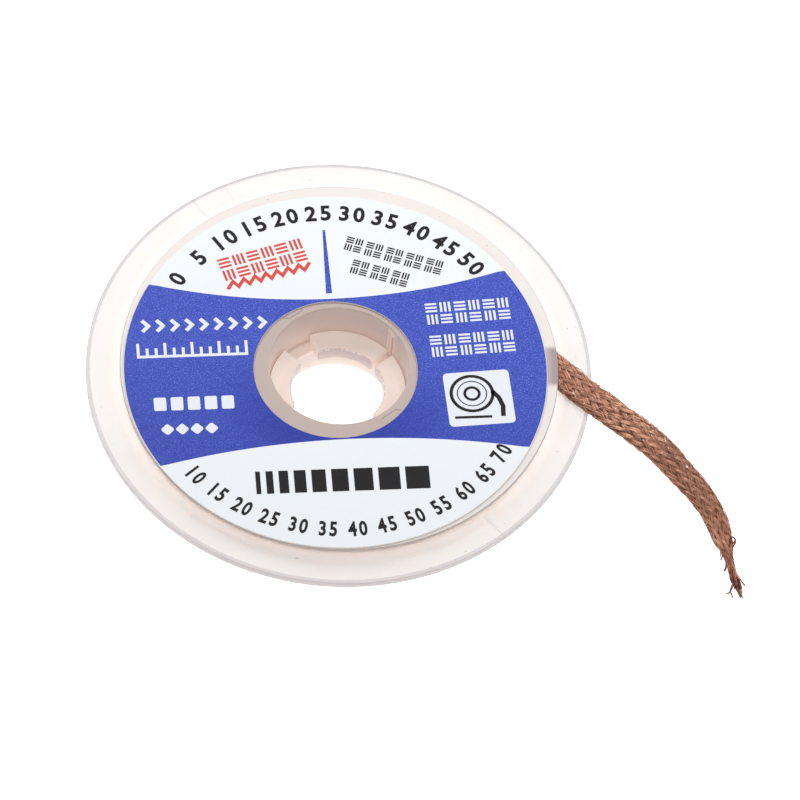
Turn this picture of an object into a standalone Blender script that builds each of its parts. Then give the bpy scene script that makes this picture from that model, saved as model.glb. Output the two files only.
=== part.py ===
"""Desoldering braid on its reel: a brimmed drum, a press-in cap, a label, the wound braid and its tail.

The reel stands on its foot ring. The origin is at the middle of the foot's underside, on the bore's axis.
"""

import math

import bmesh
import bpy
from mathutils import Matrix, Vector

MM = 0.001

# Bore, foot and lugs
BORE_R = 6.2 * MM
FOOT_HOLE_R = 5.15 * MM
FOOT_WALL = 0.9 * MM
FOOT_HEIGHT = 2.0 * MM
LUG_HEIGHT = 1.25 * MM
LUG_REACH = 1.9 * MM
LUG_CLEARANCE = 0.15 * MM
LUG_ROOT = 0.1 * MM
LUG_SPANS = ((-35, 41), (48, 119), (146, 208), (236, 301))  # degrees round the bore, start and end

# Drum
FLOOR_THICKNESS = 0.8 * MM
WELL_R = 17.4 * MM
WALL_THICKNESS = 0.9 * MM
BRIM_R = 22.5 * MM
BRIM_THICKNESS = 0.7 * MM
HUB_WALL = 0.7 * MM

# Cap
CAP_R = 19.5 * MM
CAP_THICKNESS = 0.3 * MM
SLEEVE_WALL = 0.7 * MM
SLEEVE_CLEARANCE = 0.15 * MM
END_CLEARANCE = 0.3 * MM
EXIT_GAP = 0.4 * MM  # slit between brim and cap that the braid comes out of

# Slot in the hub that holds the braid's inner end
SLOT_WIDTH = 0.6 * MM
SLOT_ANGLE = 45  # degrees round the bore, between two lugs

# Label
LABEL_R = 18.85 * MM
LABEL_HOLE_R = 7.3 * MM
LABEL_THICKNESS = 0.12 * MM
LABEL_SEAT = 0.05 * MM
LABEL_OFF_CENTRE = (-0.28 * MM, -0.55 * MM)

# Braid
BRAID_WIDTH = 3.0 * MM
WINDING_CLEARANCE = 0.3 * MM
HEADROOM = 0.7 * MM  # over the winding, where the tail turns flat and leaves
TAIL_THICKNESS = 0.25 * MM
TAIL_STEP = 1.2 * MM
TAIL_ROUTE = (  # x, y, z and width in millimetres, from under the cap to the tip on the floor
    (12.6, 7.5, 7.0, 3.0),
    (16.0, 4.7, 7.0, 3.0),
    (19.3, 2.1, 7.0, 3.0),
    (21.7, 0.1, 7.02, 3.0),
    (24.3, -1.8, 7.0, 3.0),
    (26.6, -3.1, 6.55, 3.0),
    (28.8, -4.25, 5.7, 3.0),
    (31.1, -5.8, 4.35, 2.8),
    (33.3, -7.35, 2.9, 2.5),
    (34.75, -9.0, 1.65, 2.1),
    (35.5, -10.6, 0.9, 1.6),
    (36.1, -12.2, 0.5, 1.1),
    (36.8, -14.1, 0.35, 1.1),
    (37.3, -15.5, 0.35, 0.9),
)

# Levels that follow from the sizes above
FLOOR_TOP = FOOT_HEIGHT + FLOOR_THICKNESS
WINDING_BOTTOM = FLOOR_TOP + WINDING_CLEARANCE
WINDING_TOP = WINDING_BOTTOM + BRAID_WIDTH
BRIM_TOP = WINDING_TOP + HEADROOM
CAP_BOTTOM = BRIM_TOP + EXIT_GAP
CAP_TOP = CAP_BOTTOM + CAP_THICKNESS
SLEEVE_BOTTOM = FLOOR_TOP + END_CLEARANCE
HUB_INNER_R = BORE_R + SLEEVE_WALL + SLEEVE_CLEARANCE
HUB_OUTER_R = HUB_INNER_R + HUB_WALL

SEGMENTS = 96
EDGE_ROUND = 0.1 * MM
EDGE_STEPS = 3  # flats in each rounded corner
SHARP_ANGLE = 35  # degrees, past which an edge is shaded sharp
CURVE_STEPS = 20  # steps between two points of the tail's route


def material(name, colour, roughness, metallic=0.0, transmission=0.0):
    """A plain Principled material."""
    made = bpy.data.materials.new(name)
    made.use_nodes = True
    shader = made.node_tree.nodes["Principled BSDF"]
    shader.inputs["Base Color"].default_value = (*colour, 1.0)
    shader.inputs["Roughness"].default_value = roughness
    shader.inputs["Metallic"].default_value = metallic
    shader.inputs["Transmission Weight"].default_value = transmission
    return made


def add_object(name, bm, mat):
    """Turn a bmesh into a smooth-shaded object with sharp corners."""
    bmesh.ops.recalc_face_normals(bm, faces=bm.faces)
    mesh = bpy.data.meshes.new(name)
    bm.to_mesh(mesh)
    bm.free()
    mesh.materials.append(mat)
    mesh.shade_smooth()
    mesh.set_sharp_from_angle(angle=math.radians(SHARP_ANGLE))
    made = bpy.data.objects.new(name, mesh)
    bpy.context.collection.objects.link(made)
    return made


def section(bm, outline, angle):
    """The vertices of a (radius, height) outline in the half plane at this angle round the Z axis."""
    vertices = []
    for radius, height in outline:
        vertices.append(bm.verts.new((radius * math.cos(angle), radius * math.sin(angle), height)))
    return vertices


def turned(name, outline, mat):
    """Spin a closed outline of (radius, height) points once round the Z axis."""
    bm = bmesh.new()
    rings = []
    for step in range(SEGMENTS):
        rings.append(section(bm, outline, 2 * math.pi * step / SEGMENTS))
    count = len(outline)
    for step in range(SEGMENTS):
        here = rings[step]
        there = rings[(step + 1) % SEGMENTS]
        for i in range(count):
            j = (i + 1) % count
            bm.faces.new((here[i], here[j], there[j], there[i]))
    return add_object(name, bm, mat)


def rounded_edge(radius, low, high):
    """The rim of a plate at this radius, from its low side to its high side, with both corners rounded."""
    points = []
    for quarter, height in ((-1, low + EDGE_ROUND), (0, high - EDGE_ROUND)):
        for step in range(EDGE_STEPS + 1):
            angle = (quarter + step / EDGE_STEPS) * math.pi / 2
            out = radius - EDGE_ROUND + EDGE_ROUND * math.cos(angle)
            points.append((out, height + EDGE_ROUND * math.sin(angle)))
    return points


def ring_segment(inner, outer, low, high, start, end):
    """A block bent round the Z axis between two angles in degrees."""
    bm = bmesh.new()
    corners = ((inner, low), (outer, low), (outer, high), (inner, high))
    steps = max(2, round(SEGMENTS * (end - start) / 360))
    sections = []
    for step in range(steps + 1):
        sections.append(section(bm, corners, math.radians(start + (end - start) * step / steps)))
    for here, there in zip(sections, sections[1:]):
        for i in range(4):
            j = (i + 1) % 4
            bm.faces.new((here[i], here[j], there[j], there[i]))
    bm.faces.new(sections[0])
    bm.faces.new(sections[-1])
    return bm


def combine(target, tool, operation):
    """Apply one exact Boolean to the target as a modifier, with the tool hidden."""
    tool.hide_render = True
    tool.display_type = "WIRE"
    cut = target.modifiers.new(operation.title() + " " + tool.name, "BOOLEAN")
    cut.operation = operation
    cut.solver = "EXACT"
    cut.object = tool


def make_slot_cutter(mat):
    """A radial slot through sleeve and hub, open at the sleeve's lower end and level with the winding's top."""
    bm = bmesh.new()
    bmesh.ops.create_cube(bm, size=1)
    inner = BORE_R - LUG_CLEARANCE / 2
    outer = HUB_OUTER_R + WINDING_CLEARANCE / 2
    low = FLOOR_TOP + END_CLEARANCE / 2
    size = Matrix.Diagonal((outer - inner, SLOT_WIDTH, WINDING_TOP - low, 1))
    place = Matrix.Rotation(math.radians(SLOT_ANGLE), 4, "Z")
    place = place @ Matrix.Translation(((inner + outer) / 2, 0, (low + WINDING_TOP) / 2))
    bmesh.ops.transform(bm, matrix=place @ size, verts=bm.verts)
    return add_object("slot_cutter", bm, mat)


def make_drum(mat, slot):
    """Foot, floor, wall, brim, hub tube and lugs, moulded as one piece."""
    wall_outer = WELL_R + WALL_THICKNESS
    brim_bottom = BRIM_TOP - BRIM_THICKNESS
    outline = [
        (FOOT_HOLE_R, 0),
        (FOOT_HOLE_R + FOOT_WALL, 0),
        (FOOT_HOLE_R + FOOT_WALL, FOOT_HEIGHT),
        (wall_outer, FOOT_HEIGHT),
        (wall_outer, brim_bottom),
        *rounded_edge(BRIM_R, brim_bottom, BRIM_TOP),
        (WELL_R, BRIM_TOP),
        (WELL_R, FLOOR_TOP),
        (HUB_OUTER_R, FLOOR_TOP),
        (HUB_OUTER_R, CAP_BOTTOM - END_CLEARANCE),
        (HUB_INNER_R, CAP_BOTTOM - END_CLEARANCE),
        (HUB_INNER_R, FLOOR_TOP),
        (FOOT_HOLE_R, FLOOR_TOP),
    ]
    drum = turned("drum", outline, mat)
    outer = BORE_R - LUG_CLEARANCE
    inner = BORE_R - LUG_CLEARANCE - LUG_REACH
    for number, (start, end) in enumerate(LUG_SPANS, start=1):
        segment = ring_segment(inner, outer, FLOOR_TOP - LUG_ROOT, FLOOR_TOP + LUG_HEIGHT, start, end)
        lug = add_object(f"lug_{number}", segment, mat)
        combine(drum, lug, "UNION")
    combine(drum, slot, "DIFFERENCE")
    return drum


def make_cap(mat, slot):
    """Disc over the drum, with the sleeve that presses into the hub and forms the bore."""
    sleeve_r = BORE_R + SLEEVE_WALL
    outline = [
        (BORE_R, SLEEVE_BOTTOM),
        (sleeve_r, SLEEVE_BOTTOM),
        (sleeve_r, CAP_BOTTOM),
        *rounded_edge(CAP_R, CAP_BOTTOM, CAP_TOP),
        (BORE_R + EDGE_ROUND, CAP_TOP),
        (BORE_R, CAP_TOP - EDGE_ROUND),
    ]
    cap = turned("cap", outline, mat)
    combine(cap, slot, "DIFFERENCE")
    return cap


def make_label(mat):
    """Round sticker with a hole, glued a little off centre."""
    low = CAP_TOP + LABEL_SEAT
    high = low + LABEL_THICKNESS
    outline = [(LABEL_HOLE_R, low), (LABEL_R, low), (LABEL_R, high), (LABEL_HOLE_R, high)]
    label = turned("label", outline, mat)
    label.location = (*LABEL_OFF_CENTRE, 0)
    return label


def make_winding(mat):
    """The wound braid as one turned ring, standing on edge between hub and wall."""
    inner = HUB_OUTER_R + WINDING_CLEARANCE
    outer = WELL_R - WINDING_CLEARANCE
    outline = [(inner, WINDING_BOTTOM), (outer, WINDING_BOTTOM), (outer, WINDING_TOP), (inner, WINDING_TOP)]
    return turned("braid_winding", outline, mat)


def smooth_route():
    """Points and widths at even steps along a smooth curve through the tail's route."""
    given = [Vector(point) * MM for point in TAIL_ROUTE]
    ends = [2 * given[0] - given[1], *given, 2 * given[-1] - given[-2]]
    fine = []
    for a, b, c, d in zip(ends, ends[1:], ends[2:], ends[3:]):
        for i in range(CURVE_STEPS):
            t = i / CURVE_STEPS
            bend = (2 * a - 5 * b + 4 * c - d) * t**2 + (3 * b - a - 3 * c + d) * t**3
            fine.append(b + ((c - a) * t + bend) / 2)
    fine.append(given[-1])
    picked = [fine[0]]
    for point in fine:
        if (point.xyz - picked[-1].xyz).length >= TAIL_STEP:
            picked.append(point)
    if (fine[-1].xyz - picked[-1].xyz).length > TAIL_STEP / 2:
        picked.append(fine[-1])
    return picked


def make_tail(mat):
    """The braid's free end, a flat ribbon that narrows to its tip."""
    route = smooth_route()
    curve = bpy.data.curves.new("braid_tail", "CURVE")
    curve.dimensions = "3D"
    curve.twist_mode = "Z_UP"
    curve.bevel_depth = TAIL_THICKNESS / 2
    curve.extrude = (BRAID_WIDTH - TAIL_THICKNESS) / 2
    curve.bevel_resolution = 2
    curve.use_fill_caps = True
    spline = curve.splines.new("POLY")
    spline.points.add(len(route) - 1)
    for point, place in zip(spline.points, route):
        point.co = (*place.xyz, 1)
        point.radius = place.w / BRAID_WIDTH
        point.tilt = math.pi / 2
    curve.materials.append(mat)
    tail = bpy.data.objects.new("braid_tail", curve)
    bpy.context.collection.objects.link(tail)
    return tail


def main():
    for old in list(bpy.data.objects):
        bpy.data.objects.remove(old, do_unlink=True)
    plastic = material("natural_plastic", (0.93, 0.91, 0.88), 0.35, transmission=0.6)
    paper = material("printed_label", (0.09, 0.13, 0.55), 0.45)
    copper = material("copper_braid", (0.55, 0.27, 0.17), 0.4, metallic=1.0)
    slot = make_slot_cutter(plastic)
    make_drum(plastic, slot)
    make_cap(plastic, slot)
    make_label(paper)
    make_winding(copper)
    make_tail(copper)


main()
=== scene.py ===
"""The looks of a desoldering braid on its reel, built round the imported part.

The reel lies on a pale floor under soft light. Lengths are in metres, and MM turns millimetres into them.
Angles on the reel are in degrees, counter-clockwise from +X seen from above.
"""

import math

import bmesh
import bpy
import numpy as np
from mathutils import Matrix, Vector


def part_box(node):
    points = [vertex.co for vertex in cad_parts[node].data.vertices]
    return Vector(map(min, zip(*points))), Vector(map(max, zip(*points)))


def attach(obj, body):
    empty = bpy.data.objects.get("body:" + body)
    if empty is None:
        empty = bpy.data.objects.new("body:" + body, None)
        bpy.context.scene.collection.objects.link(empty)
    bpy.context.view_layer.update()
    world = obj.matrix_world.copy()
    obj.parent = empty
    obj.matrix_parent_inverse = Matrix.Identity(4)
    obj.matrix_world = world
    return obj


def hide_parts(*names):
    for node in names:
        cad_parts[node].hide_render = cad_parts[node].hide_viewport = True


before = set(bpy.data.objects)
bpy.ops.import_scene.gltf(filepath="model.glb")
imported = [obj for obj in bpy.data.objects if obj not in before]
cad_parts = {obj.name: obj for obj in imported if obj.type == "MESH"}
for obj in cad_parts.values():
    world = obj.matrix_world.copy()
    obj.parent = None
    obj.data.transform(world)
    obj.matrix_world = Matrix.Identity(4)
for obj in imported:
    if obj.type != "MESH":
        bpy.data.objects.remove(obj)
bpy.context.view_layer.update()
MM = 0.001


# Studio
# A white sweep of floor in a white room, with two small lamps close behind the reel on both sides and a
# larger one far in front. The camera stands well back with a long lens, looks down and is turned a little,
# as in the photo.
FLOOR_SIZE = 3.0
FLOOR_GLOW = 0.8
ROOM_LIGHT = 0.5
CAMERA_DISTANCE = 0.7
CAMERA_DROP = math.radians(55.95)
CAMERA_ROLL = math.radians(5.5)
CAMERA_LENS = 351.5
AIM_RIGHT = 5.66 * MM
AIM_UP = 1.67 * MM

scene = bpy.context.scene
scene.view_settings.view_transform = "Standard"
scene.cycles.transparent_max_bounces = 24
scene.cycles.max_bounces = 16
scene.cycles.transmission_bounces = 16


def plain_material(name, colour, roughness, glow):
    """A plain Principled material that also gives off a little of its own light."""
    made = bpy.data.materials.new(name)
    made.use_nodes = True
    shader = made.node_tree.nodes["Principled BSDF"]
    shader.inputs["Base Color"].default_value = (*colour, 1)
    shader.inputs["Roughness"].default_value = roughness
    shader.inputs["Emission Color"].default_value = (1, 1, 1, 1)
    shader.inputs["Emission Strength"].default_value = glow
    return made


def link(made):
    bpy.context.collection.objects.link(made)
    return made


floor_mesh = bpy.data.meshes.new("floor")
half = FLOOR_SIZE / 2
floor_corners = [(-half, -half, 0), (half, -half, 0), (half, half, 0), (-half, half, 0)]
floor_mesh.from_pydata(floor_corners, [], [(0, 1, 2, 3)])
floor_mesh.materials.append(plain_material("pale_floor", (0.9, 0.9, 0.9), 0.9, FLOOR_GLOW))
floor = link(bpy.data.objects.new("floor", floor_mesh))

room = bpy.data.worlds.new("white_room")
room.use_nodes = True
room.node_tree.nodes["Background"].inputs["Color"].default_value = (0.98, 0.99, 1, 1)
room.node_tree.nodes["Background"].inputs["Strength"].default_value = ROOM_LIGHT
scene.world = room


def soft_lamp(name, place, size, power):
    """A square area lamp at this place, turned to the reel."""
    lamp = bpy.data.lights.new(name, "AREA")
    lamp.size = size
    lamp.energy = power
    made = link(bpy.data.objects.new(name, lamp))
    made.location = place
    made.rotation_euler = (-Vector(place)).to_track_quat("-Z", "Y").to_euler()
    return made


soft_lamp("lamp_left", (-0.08, 0.09, 0.12), 0.06, 0.085)
soft_lamp("lamp_right", (0.085, 0.095, 0.12), 0.06, 0.09)
soft_lamp("lamp_front", (0.05, -0.3, 0.4), 0.2, 0.35)

look = Vector((0, math.cos(CAMERA_DROP), -math.sin(CAMERA_DROP)))
right = Vector((1, 0, 0))
up = Vector((0, math.sin(CAMERA_DROP), math.cos(CAMERA_DROP)))
turned_right = right * math.cos(CAMERA_ROLL) + up * math.sin(CAMERA_ROLL)
turned_up = up * math.cos(CAMERA_ROLL) - right * math.sin(CAMERA_ROLL)
camera = link(bpy.data.objects.new("camera", bpy.data.cameras.new("camera")))
camera.data.lens = CAMERA_LENS
camera.data.sensor_width = 36
camera.data.clip_start = 0.01
camera.matrix_world = Matrix(
    (
        (turned_right.x, turned_up.x, -look.x, 0),
        (turned_right.y, turned_up.y, -look.y, 0),
        (turned_right.z, turned_up.z, -look.z, 0),
        (0, 0, 0, 1),
    )
)
camera.location = right * AIM_RIGHT + up * AIM_UP - look * CAMERA_DISTANCE
scene.camera = camera


# Drum
# The lower half of the reel, one moulding of natural milky plastic: foot ring, floor, well wall, wide brim,
# hub tube with the notch that holds the braid's inner end, and four snap lugs standing in the bore.
FOOT_HOLE_R = 5.15 * MM
FOOT_R = 6.05 * MM
FOOT_HEIGHT = 2.0 * MM
FLOOR_TOP = 2.8 * MM
HUB_INNER_R = 7.05 * MM
HUB_OUTER_R = 7.75 * MM
HUB_TOP = 6.9 * MM
WELL_R = 17.4 * MM
WALL_R = 18.3 * MM
BRIM_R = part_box("drum")[1].x
BRIM_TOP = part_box("drum")[1].z - 0.1 * MM
BRIM_THICKNESS = 0.7 * MM
LUG_INNER_R = 4.15 * MM
LUG_OUTER_R = 6.05 * MM
LUG_TOP = 4.05 * MM
LUG_SLOPE = 0.1 * MM
LUG_BOTTOM = 2.7 * MM
LUG_SPANS = ((-35, 41), (48, 119), (146, 208), (236, 301))
SLOT_ANGLE = 45
SLOT_WIDTH = 0.6 * MM
SLOT_TOP = 6.1 * MM
SLOT_BOTTOM = 2.95 * MM
KNIT_LINES = (-45, 131, 122.5)
TURN_PITCH = 0.5 * MM
CORE_R = 8.3 * MM
CAP_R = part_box("cap")[1].x

# Where the milky plastic's colour changes, partly its own tint and partly painted light and shade: radii and
# heights between which one colour fades into the next.
CORE_EDGE = (8.2 * MM, 8.8 * MM)
RING_RISE = (7.15 * MM, 7.45 * MM)
FOOT_RISE = (2.2 * MM, 2.9 * MM)
SLEEVE_FACE = (6.08 * MM, 6.15 * MM)
SLEEVE_RISE = (3.2 * MM, 7.2 * MM)
LUG_FACE = (4.2 * MM, 4.32 * MM)
LUG_EDGE_RISE = (3.84 * MM, 3.9 * MM)
WARM_START = (16.8 * MM, 17.4 * MM)
WARM_END = (18.2 * MM, 21.8 * MM)
BRAID_EXIT_ANGLE = 6.4


class Signal:
    """One value in a material. Arithmetic on signals and numbers adds the Math nodes that it needs."""

    def __init__(self, finish, socket):
        self.finish = finish
        self.socket = socket

    def math(self, operation, first, second):
        return self.finish.math(operation, first, second)

    def __add__(self, other):
        return self.math("ADD", self, other)

    def __radd__(self, other):
        return self.math("ADD", other, self)

    def __sub__(self, other):
        return self.math("SUBTRACT", self, other)

    def __rsub__(self, other):
        return self.math("SUBTRACT", other, self)

    def __mul__(self, other):
        return self.math("MULTIPLY", self, other)


class Finish:
    """A Principled material whose patterns lie on the piece's own coordinates."""

    def __init__(self, name, **settings):
        self.material = bpy.data.materials.new(name)
        self.material.use_nodes = True
        self.tree = self.material.node_tree
        self.shader = self.tree.nodes["Principled BSDF"]
        for socket, value in settings.items():
            self.shader.inputs[socket.replace("_", " ").title().replace("Ior", "IOR")].default_value = value

    def node(self, kind, settings=None, inputs=None, output=0):
        """Add a node: its settings first, then the values or links of its sockets. Gives one output."""
        made = self.tree.nodes.new(kind)
        for setting, value in (settings or {}).items():
            setattr(made, setting, value)
        for socket, value in (inputs or {}).items():
            if isinstance(value, Signal):
                self.tree.links.new(value.socket, made.inputs[socket])
            else:
                made.inputs[socket].default_value = value
        return Signal(self, made.outputs[output])

    def place(self):
        """The point on the piece, in metres."""
        return self.node("ShaderNodeTexCoord", output="Object")

    def part(self, vector, axis):
        return self.node("ShaderNodeSeparateXYZ", inputs={0: vector}, output=axis)

    def radius(self):
        """The distance from the reel's axis."""
        flat = self.node("ShaderNodeVectorMath", {"operation": "MULTIPLY"}, {0: self.place(), 1: (1, 1, 0)})
        return self.node("ShaderNodeVectorMath", {"operation": "LENGTH"}, {0: flat}, "Value")

    def height(self):
        return self.part(self.place(), "Z")

    def noise(self, size, detail=2.0, stretch=(1, 1, 1)):
        """Cloudy noise from 0 to 1 whose lumps measure about this size."""
        spread = tuple(s / size for s in stretch)
        scaled = self.node("ShaderNodeVectorMath", {"operation": "MULTIPLY"}, {0: self.place(), 1: spread})
        return self.node("ShaderNodeTexNoise", inputs={"Vector": scaled, "Scale": 1.0, "Detail": detail})

    def step(self, value, low, high):
        """0 below low, 1 above high, and a smooth rise between them."""
        limits = {"Value": value, "From Min": low, "From Max": high}
        return self.node("ShaderNodeMapRange", {"interpolation_type": "SMOOTHSTEP"}, limits)

    def blend(self, factor, first, second):
        """First colour at factor 0, second at 1."""
        inputs = {0: factor, 6: first, 7: second}
        return self.node("ShaderNodeMix", {"data_type": "RGBA"}, inputs, 2)

    def spoke(self, angle, solid=0.03 * MM, faded=0.12 * MM):
        """1 along a line straight out from the reel's axis at this angle, fading to 0 on both sides."""
        turn_by = math.radians(angle)
        x, y = self.part(self.place(), "X"), self.part(self.place(), "Y")
        beside = self.math("ABSOLUTE", x * math.sin(turn_by) - y * math.cos(turn_by), 0.0)
        ahead = x * math.cos(turn_by) + y * math.sin(turn_by)
        return (1 - self.step(beside, solid, faded)) * self.step(ahead, 0.0, 1.0 * MM)

    def math(self, operation, first, second):
        return self.node("ShaderNodeMath", {"operation": operation}, {0: first, 1: second})

    def feed(self, socket, signal):
        self.tree.links.new(signal.socket, self.shader.inputs[socket])

    def bump(self, height, distance):
        """Relief of this depth on the surface, where height goes from 0 to 1."""
        inputs = {"Height": height, "Distance": distance, "Strength": 1.0}
        self.feed("Normal", self.node("ShaderNodeBump", inputs=inputs))


def colour(red, green, blue):
    """A colour given as it looks on a screen, from 0 to 255, as the linear one that a shader takes."""
    linear = []
    for value in (red, green, blue):
        share = value / 255
        linear.append(share / 12.92 if share <= 0.04045 else ((share + 0.055) / 1.055) ** 2.4)
    return (*linear, 1)


def milky_plastic(name, clearness, depth, outer_r, line, glow=0.0, over_braid=0.0):
    """Natural milky plastic: whitest in the thin brim, with its rim painted greyer as painted shade, and
    painted warmer where the winding's copper shows through it. It has a fine satin grain, a thin line of
    painted shade along its outer edge, of the strength given by line, and faint knit lines where the flows
    met. In the bore the wall is painted lighter towards its bottom and along its groove as painted light,
    the lugs' inner faces are painted darker as painted shade, and their top inner edges carry painted
    sparkle. The glow stands for the light that the plastic lets through, in the lugs and on the brim beside
    the cap. Over the braid's free end the disc has painted shade where the dark copper shows through."""
    finish = Finish(
        name,
        roughness=0.3,
        ior=1.49,
        transmission_weight=clearness,
        subsurface_weight=0.75,
        subsurface_radius=(1.0, 0.8, 0.7),
        subsurface_scale=depth,
        emission_strength=glow,
    )
    radius = finish.radius()
    height = finish.height()

    # The bore's ring, wall, foot and lugs. Painted light and shade here: the wall lighter towards its bottom
    # and along the groove, the lugs' inner faces darker, and painted sparkle on their top inner edges.
    near_bore = 1 - finish.step(radius, *CORE_EDGE)
    on_ring = near_bore * finish.step(height, *RING_RISE)
    on_wall = near_bore * finish.step(radius, *SLEEVE_FACE)
    in_foot = near_bore * (1 - finish.step(height, *FOOT_RISE))
    lug_face = near_bore * (1 - finish.step(radius, *LUG_FACE))
    lug_edge = lug_face * finish.step(height, *LUG_EDGE_RISE)
    groove = near_bore * (1 - on_ring) * finish.spoke(SLOT_ANGLE, 0.42 * MM, 0.5 * MM)
    wall_painted_light = finish.blend(finish.step(height, *SLEEVE_RISE), colour(232, 213, 203), colour(198, 182, 175))
    edge_sparkle = finish.step(finish.noise(0.25 * MM), 0.4, 0.6)

    # Painted copper show-through: the winding's copper colour painted into the plastic beside it, under it
    # with its turns, and round it on the wall's outside.
    by_winding = finish.step(radius, *WARM_START) * (1 - finish.step(radius, *WARM_END))
    low = 1 - finish.step(height, FLOOR_TOP, FLOOR_TOP + 0.2 * MM)
    below = finish.step(radius, 7.9 * MM, 8.6 * MM) * (1 - finish.step(radius, 16.8 * MM, 17.8 * MM))
    turns = finish.math("SINE", radius * (2 * math.pi / TURN_PITCH), 0.0) * 0.1 + 0.6
    outside = finish.step(radius, WALL_R - 0.15 * MM, WALL_R - 0.05 * MM)
    outside = outside * (1 - finish.step(height, 5.9 * MM, 6.2 * MM))

    # Painted copper show-through: the core painted warm, and the plastic beside, under and round the winding
    # warmer.
    tint = finish.blend(near_bore, colour(252, 249, 247), colour(252, 234, 225))
    tint = finish.blend(by_winding * 0.55, tint, colour(250, 232, 225))
    tint = finish.blend(low * below * turns, tint, colour(226, 192, 174))
    tint = finish.blend(outside * 0.6, tint, colour(240, 218, 207))
    # Painted light and shade in the bore: the wall lighter low down and along the groove, the lugs' inner
    # faces darker, and painted sparkle on their top inner edges.
    tint = finish.blend(on_wall, tint, wall_painted_light)
    tint = finish.blend(groove * 0.6, tint, colour(244, 228, 220))
    tint = finish.blend(on_ring, tint, colour(205, 189, 181))
    tint = finish.blend(in_foot, tint, colour(236, 225, 219))
    tint = finish.blend(lug_face * 0.85, tint, colour(208, 197, 197))
    tint = finish.blend(lug_edge * edge_sparkle, tint, colour(255, 253, 252))

    # The rim and the thin line at the outer edge, both painted greyer as painted shade; clouds, knit lines,
    # specks, and painted shade where the braid shows through the disc.
    rim = finish.step(radius, BRIM_R - 0.42 * MM, BRIM_R - 0.30 * MM)
    edge_shade_line = finish.step(radius, outer_r - 0.12 * MM, outer_r - 0.05 * MM)
    cloud = finish.noise(2.2 * MM, 3.0)
    knit = finish.spoke(KNIT_LINES[0]) + finish.spoke(KNIT_LINES[1]) + finish.spoke(KNIT_LINES[2]) * 0.6
    knit = knit * finish.step(radius, 19.4 * MM, 19.8 * MM)
    speck = finish.step(finish.noise(0.3 * MM, 0.0), 0.845, 0.865)
    tint = finish.blend(rim * 0.8, tint, colour(211, 210, 215))
    tint = finish.blend(edge_shade_line * line, tint, colour(184, 174, 172))
    tint = finish.blend(cloud * 0.08, tint, colour(214, 204, 200))
    tint = finish.blend(knit * 0.3, tint, colour(176, 160, 158))
    tint = finish.blend(speck * 0.4, tint, colour(120, 108, 104))
    if over_braid:
        # Painted shade where the dark braid shows through the disc.
        beside_braid = finish.spoke(BRAID_EXIT_ANGLE, 1.65 * MM, 2.35 * MM)
        outward = 0.6 + finish.step(radius, 18.4 * MM, 19.2 * MM) * 0.4
        painted_braid_shade = beside_braid * outward * finish.step(radius, 14 * MM, 15 * MM)
        tint = finish.blend(painted_braid_shade * over_braid, tint, colour(166, 146, 152))
    finish.feed("Base Color", tint)

    on_lugs = near_bore * (1 - on_wall * 0.35) * (1 - on_ring) * (1 - in_foot) * (1 - lug_face)
    by_cap = finish.step(radius, CAP_R - 0.4 * MM, CAP_R) * (1 - finish.step(radius, CAP_R, CAP_R + 1.1 * MM))
    by_cap = by_cap * finish.step(height, BRIM_TOP - 0.3 * MM, BRIM_TOP - 0.1 * MM)
    lit = finish.blend(on_lugs + by_cap, colour(0, 0, 0), colour(255, 242, 236))
    finish.feed("Emission Color", lit)
    finish.feed("Roughness", 0.24 + finish.noise(0.9 * MM, 4.0) * 0.16)
    grain = finish.noise(0.12 * MM, 3.0) * 0.7 + finish.noise(1.6 * MM, 1.0) * 3.0 - knit * 4.0
    finish.bump(grain, 0.004 * MM)
    return finish.material


def rounded(corners):
    """An outline of (x, y, radius) corners with each corner replaced by an arc that touches both its sides.

    The arc's middle lies on the corner's bisector, and its ends are radius / tan(half the angle) away."""
    corners = np.array(corners)
    flat = corners[:, :2]
    to_last = np.roll(flat, 1, axis=0) - flat
    to_next = np.roll(flat, -1, axis=0) - flat
    to_last /= np.linalg.norm(to_last, axis=1, keepdims=True)
    to_next /= np.linalg.norm(to_next, axis=1, keepdims=True)
    half_angle = np.arccos(np.clip((to_last * to_next).sum(1), -1, 1)) / 2
    away = corners[:, 2] / np.tan(half_angle)
    start = flat + to_last * away[:, None]
    end = flat + to_next * away[:, None]
    bisector = to_last + to_next
    bisector /= np.linalg.norm(bisector, axis=1, keepdims=True)
    middle = flat + bisector * (corners[:, 2] / np.sin(half_angle))[:, None]
    share = np.linspace(0, 1, 5)[None, :, None]
    spoke = (start - middle)[:, None] * (1 - share) + (end - middle)[:, None] * share
    spoke /= np.linalg.norm(spoke, axis=2, keepdims=True)
    return (middle[:, None] + spoke * corners[:, 2][:, None, None]).reshape(-1, 2)


def around(edges, step=1.5, spread=0.35):
    """Angles for a turned piece: even steps, with close ones on each side of every edge angle."""
    even = np.arange(0, 360, step)
    edges = np.mod(np.array(edges, float), 360)
    if len(edges):
        apart = np.abs((even[:, None] - edges[None] + 180) % 360 - 180).min(axis=1)
        even = even[apart > 2 * spread]
        close = edges[:, None] + np.linspace(-spread, spread, 5)[None]
        even = np.concatenate([even, np.mod(close.ravel(), 360)])
    return np.sort(even)


def inside(angles, spans, soft=0.3):
    """1 where an angle lies in one of the spans and 0 elsewhere, with a short smooth rise at each end."""
    mask = np.zeros(len(angles))
    for start, end in spans:
        from_middle = np.abs((angles - (start + end) / 2 + 180) % 360 - 180)
        rise = np.clip(((end - start) / 2 - from_middle) / soft / 2 + 0.5, 0, 1)
        mask = np.maximum(mask, rise * rise * (3 - 2 * rise))
    return mask


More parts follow.
